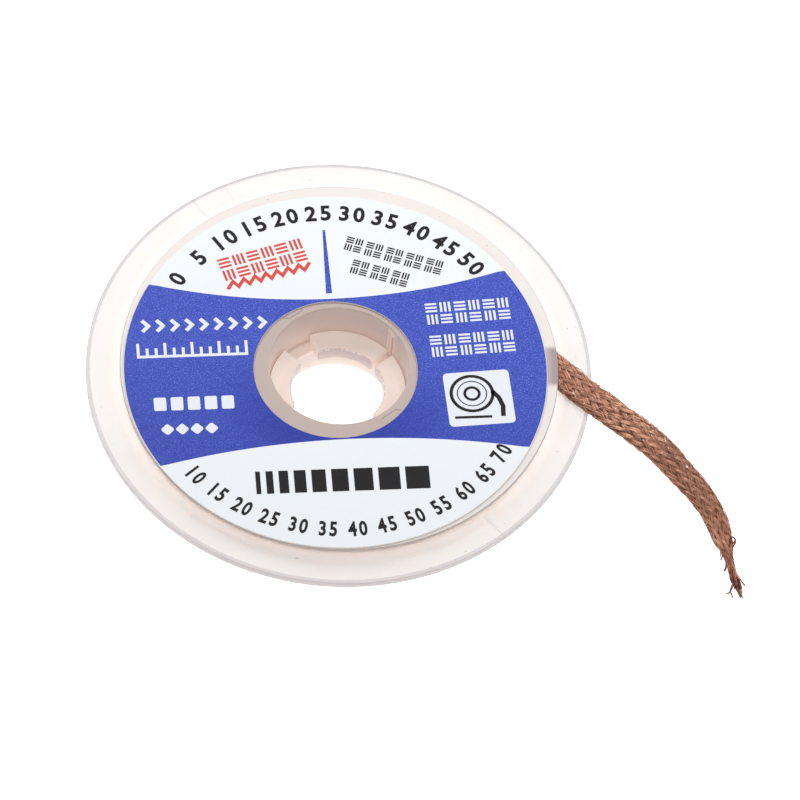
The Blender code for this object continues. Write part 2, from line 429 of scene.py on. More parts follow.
def turn(outlines, angles):
    """Points of an outline (radius, height) at each angle: (radius cos, radius sin, height)."""
    angles = np.radians(angles)[:, None]
    outlines = np.broadcast_to(outlines, (len(angles), *outlines.shape[-2:]))
    radius = outlines[..., 0]
    return np.stack([radius * np.cos(angles), radius * np.sin(angles), outlines[..., 1]], axis=2)


def skin(points, wrap_rows=True, wrap_columns=True, caps=False):
    """Vertices and faces of a grid of points, joined where it wraps, with flat end caps if asked."""
    rows, columns = points.shape[:2]
    index = np.arange(rows * columns).reshape(rows, columns)
    here = index if wrap_rows else index[:-1]
    there = np.roll(index, -1, axis=0) if wrap_rows else index[1:]
    if wrap_columns:
        next_here, next_there = np.roll(here, -1, axis=1), np.roll(there, -1, axis=1)
    else:
        here, next_here = here[:, :-1], here[:, 1:]
        there, next_there = there[:, :-1], there[:, 1:]
    faces = np.stack([here, there, next_there, next_here], axis=2).reshape(-1, 4).tolist()
    if caps:
        faces.append(index[0].tolist())
        faces.append(index[-1, ::-1].tolist())
    return points.reshape(-1, 3), faces


def piece(name, shells, materials, replaces=None, sharp=40, face_materials=None):
    """One smooth-shaded object made of (vertices, faces) shells, riding on the reel."""
    vertices = np.concatenate([shell[0] for shell in shells])
    faces = []
    start = 0
    for points, shell_faces in shells:
        faces += [[start + corner for corner in face] for face in shell_faces]
        start += len(points)
    mesh = bpy.data.meshes.new(name)
    mesh.from_pydata(vertices.tolist(), [], faces)
    for material in materials:
        mesh.materials.append(material)
    if face_materials is not None:
        mesh.polygons.foreach_set("material_index", face_materials.astype(np.int32))
    mesh.shade_smooth()
    mesh.set_sharp_from_angle(angle=math.radians(sharp))
    mesh.update()
    made = link(bpy.data.objects.new(name, mesh))
    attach(made, "root")
    if replaces:
        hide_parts(replaces)
    return made


def near_core(shells):
    """1 for each face whose middle lies in the bore, the hub or the foot, and 0 for the others."""
    middles = np.array([points[face].mean(axis=0) for points, faces in shells for face in faces])
    return (np.hypot(middles[:, 0], middles[:, 1]) < CORE_R).astype(int)


def keep_flats(made):
    """Shade big flat faces flat next to their small rounded edges."""
    modifier = made.modifiers.new("keep_flats", "WEIGHTED_NORMAL")
    modifier.keep_sharp = True
    modifier.weight = 80


def drum_outline(with_lug, with_notch):
    """The drum's section from the foot's inner edge outward and round, with a lug or the notch if asked."""
    hub_top = SLOT_BOTTOM if with_notch else HUB_TOP
    r = 0.12 * MM
    corners = [
        (FOOT_HOLE_R, 0, r),
        (FOOT_R, 0, r),
        (FOOT_R, FOOT_HEIGHT, r),
        (WALL_R, FOOT_HEIGHT, 2.5 * r),
        (WALL_R, BRIM_TOP - BRIM_THICKNESS, 2 * r),
        (BRIM_R, BRIM_TOP - BRIM_THICKNESS, 0.8 * r),
        (BRIM_R, BRIM_TOP, 0.8 * r),
        (WELL_R, BRIM_TOP, r),
        (WELL_R, FLOOR_TOP, r),
        (HUB_OUTER_R, FLOOR_TOP, 0.5 * r),
        (HUB_OUTER_R, hub_top, 0.5 * r),
        (HUB_INNER_R, hub_top, 0.5 * r),
        (HUB_INNER_R, FLOOR_TOP, 0.5 * r),
    ]
    if with_lug:
        corners += [
            (LUG_OUTER_R, FLOOR_TOP, 0.3 * r),
            (LUG_OUTER_R, LUG_TOP + LUG_SLOPE, 0.5 * r),
            (LUG_INNER_R, LUG_TOP - LUG_SLOPE, 0.35 * r),
            (LUG_INNER_R, LUG_BOTTOM, 0.35 * r),
            (FOOT_HOLE_R, LUG_BOTTOM, 0.35 * r),
        ]
        return rounded(corners)
    plain = rounded([*corners, (FOOT_HOLE_R, FLOOR_TOP, r)])
    ledge = np.linspace((LUG_OUTER_R, FLOOR_TOP), (FOOT_HOLE_R + 2 * r, FLOOR_TOP), 15)
    wall = np.linspace((FOOT_HOLE_R, FLOOR_TOP - 2 * r), (FOOT_HOLE_R, LUG_BOTTOM - 3 * r), 5)
    return np.concatenate([plain[:-5], ledge, plain[-5:], wall])


brim_plastic = milky_plastic("brim_plastic", 0.45, 1.4 * MM, BRIM_R, 0.3, glow=0.25)
core_plastic = milky_plastic("core_plastic", 0.15, 0.35 * MM, BRIM_R, 0.3, glow=0.12)
notch_half = math.degrees(SLOT_WIDTH / 2 / HUB_INNER_R)
notch_span = (SLOT_ANGLE - notch_half, SLOT_ANGLE + notch_half)
edges = [angle for span in (*LUG_SPANS, notch_span) for angle in span]
angles = around(edges)
lug = inside(angles, LUG_SPANS)[:, None, None]
notch = inside(angles, [notch_span])[:, None, None]
plain = drum_outline(False, False)
outlines = plain + lug * (drum_outline(True, False) - plain) + notch * (drum_outline(False, True) - plain)
shells = [skin(turn(outlines, angles))]
drum = piece(
    "drum_moulding",
    shells,
    [brim_plastic, core_plastic],
    "drum",
    face_materials=near_core(shells),
)
keep_flats(drum)


# Winding
# About a metre and a half of flat copper braid wound on edge in the well. It is one body here, and its turns
# show as a spiral of ridges on both ends, where the folded edges of the braid lie side by side.
WINDING_INNER_R = 8.05 * MM
WINDING_OUTER_R = 17.1 * MM
WINDING_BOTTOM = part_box("braid_winding")[0].z
WINDING_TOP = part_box("braid_winding")[1].z
TURN_GROOVE = 0.14 * MM


def copper(name, fine):
    """Dull copper wire with a flux coat: brown-red in brighter and duller patches, with fine dark spots.
    Gives the finish and its tint, so that more can be blended into the tint."""
    finish = Finish(name, metallic=0.85, specular_tint=(0.55, 0.36, 0.28, 1))
    patch = finish.noise(0.8 * MM, 3.0)
    tint = finish.blend(finish.step(patch, 0.35, 0.7), colour(202, 144, 118), colour(220, 166, 140))
    thread = finish.noise(fine, 2.0)
    tint = finish.blend(finish.step(thread, 0.5, 0.75) * 0.5, tint, colour(112, 72, 58))
    finish.feed("Roughness", 0.26 + finish.noise(0.25 * MM, 2.0) * 0.26)
    return finish, tint


turns_copper, turns_tint = copper("wound_copper", 0.2 * MM)
turns_copper.feed("Base Color", turns_tint)
weave = turns_copper.node(
    "ShaderNodeTexWave",
    {"wave_type": "BANDS", "bands_direction": "DIAGONAL"},
    {"Vector": turns_copper.place(), "Scale": 700.0, "Distortion": 1.5, "Detail": 2.0},
)
turns_copper.bump(weave, 0.05 * MM)

angles = np.arange(0, 360, 1.5)
across = np.linspace(0, 1, 110)
radius = WINDING_INNER_R + (WINDING_OUTER_R - WINDING_INNER_R) * across
phase = (radius[None] / TURN_PITCH - angles[:, None] / 360) % 1
dip = TURN_GROOVE * (1 - np.sin(np.pi * phase) ** 0.6)
radii = np.broadcast_to(radius, dip.shape)
under = np.stack([radii, WINDING_BOTTOM + dip], axis=2)
over = np.stack([radii, WINDING_TOP - dip], axis=2)[:, ::-1]
points = turn(np.concatenate([under, over], axis=1), angles)
wound = [turns_copper.material]
piece("wound_braid", [skin(points)], wound, "braid_winding", sharp=70)


# Cap
# The upper half of the reel, moulded of the same plastic: a thin disc whose sleeve is pressed into the hub
# and lines the bore. The sleeve is notched where the hub is, and two small gate marks stay beside the bore.
BORE_R = 6.2 * MM
BORE_ROUNDING = 0.1 * MM
SLEEVE_R = 6.9 * MM
SLEEVE_BOTTOM = 3.1 * MM
CAP_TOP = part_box("cap")[1].z
CAP_THICKNESS = 0.3 * MM
GROOVE_TOP = 6.75 * MM
GROOVE_DEPTH = 0.12 * MM
GATE_MARKS = (-44, 131)
GATE_WIRE_R = 0.055 * MM


def cap_outline(sleeve_bottom, grooved):
    """The cap's section from the sleeve's lower end out to the disc's edge and back over the top to the bore.
    The groove in the bore's wall is drawn first, and filled again where there is none."""
    r = 0.1 * MM
    groove_r = BORE_R + GROOVE_DEPTH
    outline = rounded(
        [
            (groove_r, sleeve_bottom, r),
            (SLEEVE_R, sleeve_bottom, r),
            (SLEEVE_R, CAP_TOP - CAP_THICKNESS, r),
            (CAP_R, CAP_TOP - CAP_THICKNESS, r),
            (CAP_R, CAP_TOP, r),
            (BORE_R, CAP_TOP, BORE_ROUNDING),
            (BORE_R, GROOVE_TOP, 0.5 * GROOVE_DEPTH),
            (groove_r, GROOVE_TOP - GROOVE_DEPTH, 0.3 * GROOVE_DEPTH),
        ]
    )
    if not grooved:
        in_bore = (outline[:, 0] < (BORE_R + SLEEVE_R) / 2) & (outline[:, 1] < GROOVE_TOP + r)
        outline[in_bore, 0] = np.maximum(outline[in_bore, 0] - GROOVE_DEPTH, BORE_R)
    return outline


def wire(points, radius, sides=5):
    """A round wire along the points, a ring of vertices at each."""
    forward = np.gradient(points, axis=0)
    forward /= np.linalg.norm(forward, axis=1, keepdims=True)
    first = np.cross(forward, (0.31, 0.17, 1.0))
    first /= np.linalg.norm(first, axis=1, keepdims=True)
    second = np.cross(forward, first)
    angle = np.linspace(0, 2 * np.pi, sides, endpoint=False)[None, :, None]
    ring = points[:, None] + radius * (first[:, None] * np.cos(angle) + second[:, None] * np.sin(angle))
    return skin(ring, wrap_rows=False, caps=True)


def gate_mark(angle):
    """A low flattened hoop of plastic that was left beside a gate. Its ends turn out towards the label."""
    share = np.linspace(-1, 1, 25)
    radius = (7.12 - 0.47 * (1 - share**6)) * MM
    spread = np.radians(angle + 8.6 * share)
    return np.stack([radius * np.cos(spread), radius * np.sin(spread), 0 * share + CAP_TOP], axis=1)


slit_half = 0.5 * notch_half
slit_span = (SLOT_ANGLE - slit_half, SLOT_ANGLE + slit_half)
groove_half = 1.4 * notch_half
groove_span = (SLOT_ANGLE - groove_half, SLOT_ANGLE + groove_half)
angles = around((*slit_span, *groove_span), spread=0.2)
notch = inside(angles, [slit_span], 0.15)[:, None, None]
groove = inside(angles, [groove_span], 0.15)[:, None, None]
plain = cap_outline(SLEEVE_BOTTOM, False)
grooved = cap_outline(SLEEVE_BOTTOM, True)
slotted = cap_outline(SLOT_TOP, True)
outlines = plain + groove * (grooved - plain) + notch * (slotted - grooved)
shells = [skin(turn(outlines, angles)), *(wire(gate_mark(angle), GATE_WIRE_R) for angle in GATE_MARKS)]
disc_plastic = milky_plastic("disc_plastic", 0.05, 0.12 * MM, CAP_R, 0.8, over_braid=0.85)
cap = piece(
    "cap_moulding",
    shells,
    [disc_plastic, core_plastic],
    "cap",
    face_materials=near_core(shells),
)
keep_flats(cap)


# Label
# A round printed film sticker, glued a little off centre. A blue band runs across it between two pale
# segments bounded by shallow arcs.
LABEL_LOW, LABEL_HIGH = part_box("label")
LABEL_CENTRE = ((LABEL_LOW.x + LABEL_HIGH.x) / 2, (LABEL_LOW.y + LABEL_HIGH.y) / 2)
LABEL_R = (LABEL_HIGH.x - LABEL_LOW.x) / 2
LABEL_HOLE_R = 7.3 * MM
LABEL_TOP = LABEL_HIGH.z
LABEL_BOTTOM = LABEL_LOW.z
LABEL_TURN = 9

# The two arcs, each as a circle's x, y and radius on the label.
UPPER_ARC = (-0.5 * MM, 62.1 * MM, 54.5 * MM)
LOWER_ARC = (1.5 * MM, -79.45 * MM, 72.0 * MM)


def film(name, tint, dark, light, speckle=0.5, front_shade=0.0):
    """Printed film: an even colour with fine pale speckles and soft darker clouds, satin gloss, faint ripple.
    By front_shade, the print may be painted darker towards the front, most near the bore, as painted shade."""
    finish = Finish(name, roughness=0.4, specular_ior_level=0.3)
    grain = finish.noise(0.13 * MM, 2.0)
    shade = finish.blend(finish.step(grain, 0.5, 0.66) * speckle, tint, light)
    cloud = finish.noise(0.5 * MM, 3.0)
    shade = finish.blend(finish.step(cloud, 0.45, 0.75) * speckle * 0.5, shade, dark)
    if front_shade:
        # Painted shade: the print darker towards the front of the label, most of all near the bore.
        in_front = finish.step(finish.part(finish.place(), "Y"), 2 * MM, -10 * MM)
        by_bore = 1 - finish.step(finish.radius(), 8 * MM, 13 * MM)
        shade = finish.blend(in_front * (0.35 + by_bore * 0.65) * front_shade, shade, dark)
    finish.feed("Base Color", shade)
    finish.feed("Roughness", 0.36 + finish.noise(0.6 * MM, 3.0) * 0.12)
    finish.bump(finish.noise(0.5 * MM, 2.0), 0.003 * MM)
    return finish.material


def to_arc(directions, arc):
    """How far from the label's centre each direction meets the arc's circle, on its near side."""
    x, y, size = arc
    along = directions @ np.array([x, y])
    room = along**2 - (x * x + y * y - size * size)
    near = along - np.sqrt(np.maximum(room, 0))
    return np.where((room > 0) & (along > 0), near, np.inf)


def on_label(points):
    """Points of the label's own plane, x along its rows, turned and placed on the reel."""
    turn_by = math.radians(LABEL_TURN)
    x = LABEL_CENTRE[0] + points[..., 0] * math.cos(turn_by) - points[..., 1] * math.sin(turn_by)
    y = LABEL_CENTRE[1] + points[..., 0] * math.sin(turn_by) + points[..., 1] * math.cos(turn_by)
    return np.stack([x, y, points[..., 2]], axis=-1)


angles = np.radians(np.arange(0, 360, 0.75))
directions = np.stack([np.cos(angles), np.sin(angles)], axis=1)
bound = np.minimum(to_arc(directions, UPPER_ARC), to_arc(directions, LOWER_ARC))
bound = np.clip(bound, LABEL_HOLE_R + 0.02 * MM, LABEL_R - 0.06 * MM)
ones = np.ones(len(angles))
soft = 0.04 * MM
rings = [
    (LABEL_HOLE_R * ones, LABEL_BOTTOM),
    (LABEL_HOLE_R * ones, LABEL_TOP - soft),
    (LABEL_HOLE_R * ones + 0.3 * soft, LABEL_TOP),
    (bound, LABEL_TOP),
    (LABEL_R * ones - soft, LABEL_TOP),
    (LABEL_R * ones, LABEL_TOP - soft),
    (LABEL_R * ones, LABEL_BOTTOM),
]
columns = [np.stack([r * directions[:, 0], r * directions[:, 1], z * ones], axis=1) for r, z in rings]
points = np.stack(columns, axis=1)[:, ::-1]
blue = film("blue_film", colour(60, 79, 188), colour(40, 54, 158), colour(112, 134, 224), 0.75, front_shade=0.9)
pale = film("pale_film", colour(242, 246, 250), colour(237, 242, 247), colour(248, 250, 253))
edge = film("cut_edge", colour(240, 232, 222), colour(226, 214, 202), colour(248, 244, 238))
# From the outer edge inward and back underneath: cut edge 2, pale 1, blue 0.
ring_materials = np.tile([2, 2, 1, 0, 2, 2, 2], len(angles))
label = piece(
    "label_film",
    [skin(on_label(points))],
    [blue, pale, edge],
    "label",
    face_materials=ring_materials,
)
keep_flats(label)


# Print
# The label's printed marks: plain scales of numbers along both edges, a ruler, bars, squares, arrows, woven
# squares and a small drawing of a reel. Each ink is one very thin raised layer on the film.
INK = 0.012 * MM


def plate(outline):
    """A flat plate of ink with this outline, whose points run counter-clockwise, in mm on the label."""
    flat = np.array(outline, float) * MM
    over = np.column_stack([flat, np.full(len(flat), LABEL_TOP + INK)])
    under = np.column_stack([flat, np.full(len(flat), LABEL_TOP - INK)])
    return skin(np.stack([over, under]), wrap_rows=False, caps=True)


def box_plate(x, y, width, height, turned=0.0, corner=0.0):
    """A plate of this width and height round x, y, turned by some degrees, with round corners if asked."""
    half = np.array([(-1, -1), (1, -1), (1, 1), (-1, 1)]) * (width / 2, height / 2)
    outline = rounded([(px, py, corner) for px, py in half]) if corner else half
    angle = math.radians(turned)
    spun = outline @ np.array([(math.cos(angle), math.sin(angle)), (-math.sin(angle), math.cos(angle))])
    return plate(spun + (x, y))


def stroke(path, width):
    """A plate that follows a path. Each point goes out on both sides along the mean of its two normals, by
    half the width over the cosine of half the turn."""
    path = np.array(path, float)
    steps = np.diff(path, axis=0)
    normals = np.column_stack([-steps[:, 1], steps[:, 0]]) / np.linalg.norm(steps, axis=1)[:, None]
    first, last = np.vstack([normals[:1], normals]), np.vstack([normals, normals[-1:]])
    mean = first + last
    mean /= (mean * first).sum(axis=1)[:, None]
    return plate(np.vstack([path - mean * width / 2, (path + mean * width / 2)[::-1]]))


def hoop(x, y, radius, width):
    """A round line of this width: a rectangle (radius, height) turned round x, y."""
    angles = np.radians(np.arange(0, 360, 7.5))[:, None]
    radii = np.array([-1, 1, 1, -1]) * width / 2 + radius
    heights = np.broadcast_to(LABEL_TOP + np.array([-INK, -INK, INK, INK]), (len(angles), 4))
    points = np.stack([(x + radii * np.cos(angles)) * MM, (y + radii * np.sin(angles)) * MM, heights], axis=2)
    return skin(points)


def woven(x, y, size, turned=0.0):
    """A square of four quarters, each of three bars, which run across and upright by turns."""
    angle = math.radians(turned)
    plates = []
    for column, row in ((-1, -1), (1, -1), (1, 1), (-1, 1)):
        for bar in (-1, 0, 1):
            off_x = column * 0.26 * size + (bar * 0.155 * size if column == row else 0)
            off_y = row * 0.26 * size + (0 if column == row else bar * 0.155 * size)
            wide, high = (0.085 * size, 0.43 * size) if column == row else (0.43 * size, 0.085 * size)
            px = x + off_x * math.cos(angle) - off_y * math.sin(angle)
            py = y + off_x * math.sin(angle) + off_y * math.cos(angle)
            plates.append(box_plate(px, py, wide, high, turned))
    return plates


def figure(character):
    """One figure in the built-in face, made bolder, as a closed plate, 1 high and centred on the origin."""
    text = bpy.data.curves.new("figure", "FONT")
    text.body = character
    text.offset = 0.03
    text.extrude = 0.5
    text.resolution_u = 3
    holder = link(bpy.data.objects.new("figure", text))
    mesh = bpy.data.meshes.new_from_object(holder.evaluated_get(bpy.context.evaluated_depsgraph_get()))
    bpy.data.objects.remove(holder)
    solid = bmesh.new()
    solid.from_mesh(mesh)
    bmesh.ops.remove_doubles(solid, verts=solid.verts, dist=1e-4)
    bmesh.ops.recalc_face_normals(solid, faces=solid.faces)
    solid.verts.index_update()
    points = np.array([vertex.co for vertex in solid.verts])
    faces = [[vertex.index for vertex in face.verts] for face in solid.faces]
    solid.free()
    low, high = points.min(axis=0), points.max(axis=0)
    points[:, :2] = (points[:, :2] - (low + high)[:2] / 2) / (high - low)[1]
    return points, faces


def number(value, x, y, height, turned, squeeze=1.0):
    """The figures of a whole number, side by side round x, y and turned together by some degrees."""
    angle = math.radians(turned)
    across = np.array([math.cos(angle), math.sin(angle)])
    upward = np.array([-across[1], across[0]])
    characters = str(value)
    plates = []
    for place, character in enumerate(characters):
        points, faces = FIGURES[character]
        shift = (place - (len(characters) - 1) / 2) * FIGURE_STEP
        flat = np.outer((points[:, 0] + shift) * squeeze, across) + np.outer(points[:, 1], upward)
        flat = (flat * height + (x, y)) * MM
        plates.append((np.column_stack([flat, LABEL_TOP + points[:, 2] * 2 * INK]), faces))
    return plates


def print_layer(name, plates, material, rise=0.0):
    """One ink's plates as a piece, placed and turned with the label, raised where they lie on other ink."""
    placed = [(on_label(points + (0, 0, rise)), faces) for points, faces in plates]
    return piece(name, placed, [material], sharp=30)


FIGURE_STEP = 0.86
FIGURES = {character: figure(character) for character in "0123456789"}

black_plates = []
for place, value in enumerate(range(0, 55, 5)):
    angle = 142.5 - 10.25 * place
    x, y = 16.95 * math.cos(math.radians(angle)), 16.95 * math.sin(math.radians(angle))
    black_plates += number(value, x, y, 1.65, angle - 90, 0.95)
for place, value in enumerate(range(10, 75, 5)):
    angle = 219.0 + 8.9 * place
    x, y = 16.9 * math.cos(math.radians(angle)), 16.9 * math.sin(math.radians(angle))
    black_plates += number(value, x, y, 1.55, angle + 90, 0.72)
left = -7.9
for place in range(9):
    bar = 0.42 + 0.21 * place
    black_plates.append(box_plate(left + bar / 2, -11.75, bar, 2.35))
    left += bar + 0.5
for place in range(5):
    x, y = 2.6 + 1.75 * place, 13.4 - 0.66 * place
    black_plates += woven(x, y, 1.6, -20)
for place in range(3):
    black_plates += woven(2.95 + 1.75 * place, 10.85 - 0.66 * place, 1.6, -20)
black_plates += [hoop(11.9, -3.1, radius, width) for radius, width in ((1.85, 0.3), (1.3, 0.1), (0.65, 0.26))]
black_plates.append(stroke([(13.7, -2.9), (14.25, -3.6), (14.55, -4.5), (14.5, -5.6)], 0.42))
black_plates += [stroke([(10.2, -5.6), (13.5, -5.6)], 0.26)]

white_plates = []
for place in range(9):
    x = -16.9 + 1.3 * place
    white_plates.append(stroke([(x, 4.7), (x + 0.55, 5.3), (x, 5.9)], 0.36))
white_plates.append(box_plate(-12.6, 2.0, 9.9, 0.28))
for place in range(13):
    tick = 1.3 if place % 3 == 0 else 0.75
    white_plates.append(box_plate(-17.42 + 0.803 * place, 2.14 + tick / 2, 0.26, tick))
white_plates += [box_plate(-15.8 + 1.5 * place, -3.1, 1.1, 1.4, 0, 0.15) for place in range(5)]
white_plates += [box_plate(-15.3 + 1.3 * place, -5.8, 0.9, 0.9, 45, 0.2) for place in range(4)]
for place in range(3):
    white_plates += woven(9.65 + 2.6 * place, 5.65 + 0.12 * place, 2.45, 2.5)
    white_plates += woven(9.8 + 2.6 * place, 2.15 + 0.12 * place, 2.45, 2.5)
badge = [box_plate(12.5, -3.6, 5.9, 5.7, 2.5, 0.4)]

red_plates = []
for place in range(3):
    red_plates += woven(-8.3 + 2.6 * place, 11.4 + 0.7 * place, 2.6, 15)
zigzag = [(-9.0 + 0.5 * step, 9.35 + 0.13 * step + (0.35 if step % 2 else -0.35)) for step in range(16)]
red_plates.append(stroke(zigzag, 0.32))
blue_plates = [plate([(-0.27, 8.2), (0.27, 8.2), (0.14, 15.1), (-0.1, 15.1)])]

black_ink = film("black_ink", colour(20, 17, 20), colour(12, 10, 13), colour(44, 42, 48), 0.3)
white_ink = film("white_ink", colour(236, 240, 248), colour(224, 230, 242), colour(246, 248, 252), 0.3)
red_ink = film("red_ink", colour(222, 74, 62), colour(208, 60, 52), colour(236, 112, 100), 0.3)
print_layer("print_white", white_plates, white_ink)
print_layer("print_badge", badge, white_ink)
print_layer("print_black", black_plates, black_ink, 0.6 * INK)
print_layer("print_red", red_plates, red_ink)
print_layer("print_blue", blue_plates, blue)


# Free end
# The last stretch of the same braid, pulled out between cap and brim. It is a flattened tube of 24 bundles of
# five wires, 12 bundles each way round, each over two and under two others. Its end is pinched and frayed.
# A row of the route holds x, y and z of the braid's middle, and its width there.
TAIL_ROUTE = np.array(
    [
        (12.6, 7.5, 7.0, 3.0),
        (16.0, 4.7, 7.0, 3.0),
        (19.3, 2.1, 7.0, 3.0),
        (21.7, 0.1, 7.02, 3.0),
        (24.3, -1.8, 7.0, 3.0),
        (26.6, -3.1, 6.55, 3.0),
        (28.8, -4.25, 5.7, 3.0),
        (31.1, -5.8, 4.35, 2.8),
        (33.3, -7.35, 2.9, 2.5),
        (34.75, -9.0, 1.65, 2.1),
        (35.5, -10.6, 0.9, 1.6),
        (36.1, -12.2, 0.5, 0.7),
        (36.8, -14.1, 0.35, 0.85),
        (37.3, -15.5, 0.35, 0.6),
    ]
) * MM
BUNDLES = 12
WIRES = 5
WIRE_R = 0.044 * MM
WIRE_STEP = 0.086 * MM
BUNDLE_LIFT = 0.066 * MM
BRAID_PITCH = 13.2 * MM
BRAID_WIDTH = 3.0 * MM
BRAID_SHEAR = 0.42
EDGE_BOWS = 26
LOWEST = 0.05 * MM

# Distances along the route: where the tube starts to open, and over how long, where its pinched end starts,
# and over how long, and where its wires get darker.
OPEN_FROM = 9 * MM
OPEN_OVER = 4 * MM
PINCH_FROM = 28 * MM
PINCH_OVER = 5 * MM
DARK_FROM = 31 * MM


def smooth_curve(points, steps):
    """A curve through all the points whose slope at each is half the step between its two neighbours."""
    ends = np.vstack([2 * points[0] - points[1], points, 2 * points[-1] - points[-2]])
    a, b, c, d = (ends[i : len(ends) - 3 + i, None] for i in range(4))
    t = (np.arange(steps) / steps)[None, :, None]
    curve = b + ((c - a) * t + (2 * a - 5 * b + 4 * c - d) * t**2 + (3 * b - a - 3 * c + d) * t**3) / 2
    return np.vstack([curve.reshape(-1, points.shape[1]), points[-1:]])


fine_route = smooth_curve(TAIL_ROUTE, 30)
stretches = np.linalg.norm(np.diff(fine_route[:, :3], axis=0), axis=1)
route_length = np.concatenate([[0], np.cumsum(stretches)])
TAIL_LENGTH = route_length[-1]
forward = np.gradient(fine_route[:, :3], axis=0)
forward /= np.linalg.norm(forward, axis=1, keepdims=True)
sideways = np.cross(forward, (0, 0, 1))
sideways /= np.linalg.norm(sideways, axis=1, keepdims=True)
upward = np.cross(sideways, forward)


def along_route(values, lengths):
    """Values known along the route, read at other distances from its start."""
    flat = np.ravel(lengths)
    read = np.stack([np.interp(flat, route_length, values[:, i]) for i in range(values.shape[1])], axis=1)
    return read.reshape(*np.shape(lengths), values.shape[1])


def on_braid(length, share, lift):
    """A point on the flattened tube: its distance along, its share of the way round and its lift off the
    middle surface. The section is two slightly crowned sides of width minus thickness, joined by half
    circles, and it leans: a point further to the left lies further along."""
    width = along_route(fine_route, length)[..., 3]
    opened = np.clip((length - OPEN_FROM) / OPEN_OVER, 0, 1)
    pinched = np.clip((length - PINCH_FROM) / PINCH_OVER, 0, 1)
    half = (0.065 + 0.085 * opened + 0.04 * pinched) * MM
    straight = np.maximum(width - 2 * (half + BUNDLE_LIFT + WIRE_R), 0.05 * MM)
    bend = np.pi * half
    way = np.mod(share, 1) * 2 * (straight + bend)
    on_top = way < straight
    on_left = (way >= straight) & (way < straight + bend)
    on_base = (way >= straight + bend) & (way < 2 * straight + bend)
    turn_left = (way - straight) / half
    turn_right = (way - 2 * straight - bend) / half
    sides = [on_top, on_left, on_base]
    flat_x = [straight / 2 - way, -straight / 2 - half * np.sin(turn_left), way - bend - 1.5 * straight]
    x = np.select(sides, flat_x, straight / 2 + half * np.sin(turn_right))
    z = np.select(sides, [half, half * np.cos(turn_left), -half], -half * np.cos(turn_right))
    out_x = np.select(sides, [0 * way, -np.sin(turn_left), 0 * way], np.sin(turn_right))
    out_z = np.select(sides, [0 * way + 1, np.cos(turn_left), 0 * way - 1], -np.cos(turn_right))
    crown = 0.09 * MM * opened * np.clip(1 - (2 * x / straight) ** 2, 0, 1)
    z = z + np.sign(z) * crown
    x = x + out_x * lift
    z = z + out_z * lift
    leant = np.clip(length - BRAID_SHEAR * opened * x, 0, TAIL_LENGTH)
    place = along_route(fine_route, leant)[..., :3]
    side = along_route(sideways, leant)
    above = along_route(upward, leant)
    points = place + side * x[..., None] + above * z[..., None]
    points[..., 2] = np.maximum(points[..., 2], LOWEST)
    return points


def bundle(number, way_round, rng):
    """The wires of one bundle as (points, shade) pairs. The bundle's lift follows a wave that is high over
    two crossings and low under the next two, and each wire wanders a little inside it. Each wire's shade is
    painted lighter where the bundle is high and darker where it is low and at the tube's folded edges, as
    painted light and shade; it is also darker towards the tip and differs a little from wire to wire."""
    length = np.arange(0, TAIL_LENGTH - 0.3 * MM, 0.215 * MM)
    wobble = 0.006 * np.sin(length / (2.3 * MM) + rng.uniform(0, 6.3))
    share = number / BUNDLES + way_round * length / BRAID_PITCH + wobble
    crossing = 2 * number + way_round * 2 * BUNDLES * length / BRAID_PITCH
    wave = np.clip(math.sqrt(2) * np.cos(np.pi / 2 * (crossing - 0.5)), -1, 1) * way_round
    width = along_route(fine_route, length)[:, 3]
    lay = math.atan(2 * BRAID_WIDTH / BRAID_PITCH)
    spread = 1 + 0.10 * np.sin(length / (1.7 * MM) + rng.uniform(0, 6.3))
    wires = []
    for place in range(WIRES):
        from_middle = (place - (WIRES - 1) / 2) * WIRE_STEP
        wander = 0.016 * MM * np.sin(length / (rng.uniform(0.5, 1.2) * MM) + rng.uniform(0, 6.3))
        offset = (from_middle * spread + wander) * (0.3 + 0.7 * width / BRAID_WIDTH)
        round_off = 0.03 * MM * (offset / (2 * WIRE_STEP)) ** 2
        jump = 0.012 * MM * np.sin(length / (rng.uniform(0.3, 0.7) * MM) + rng.uniform(0, 6.3))
        lengths = np.clip(length - way_round * offset * math.sin(lay), 0, TAIL_LENGTH)
        shares = share + offset * math.cos(lay) / (2 * width)
        keep = length < TAIL_LENGTH - rng.uniform(0.5, 3.0) * MM
        points = on_braid(lengths, shares, BUNDLE_LIFT * wave - round_off + jump)[keep]
        # Painted shade at the tube's folded edges, painted light and shade from the wave, darker wires near
        # the tip.
        from_edge = np.abs(np.mod(2 * shares + 0.5, 1) - 0.5)
        dark = 0.3 * np.clip(1 - from_edge / 0.07, 0, 1) + 0.35 * np.clip((length - DARK_FROM) / MM, 0, 1)
        wires.append((points, np.clip(0.52 + 0.3 * wave - dark + rng.normal(0, 0.13), 0, 1)[keep]))
    return wires


def near_tip(back, off, high):
    """Points this far back from the tip along the route, off to its left and above it, in mm."""
    back, off, high = np.broadcast_arrays(*np.atleast_1d(back, off, high))
    lengths = np.clip(TAIL_LENGTH - back * MM, 0, TAIL_LENGTH)
    past = np.minimum(back, 0)[:, None] * MM
    points = along_route(fine_route, lengths)[:, :3] - along_route(forward, lengths) * past
    points = points - along_route(sideways, lengths) * off[:, None] * MM
    points = points + np.array([0, 0, 1]) * high[:, None] * MM
    points[:, 2] = np.maximum(points[:, 2], LOWEST)
    return points


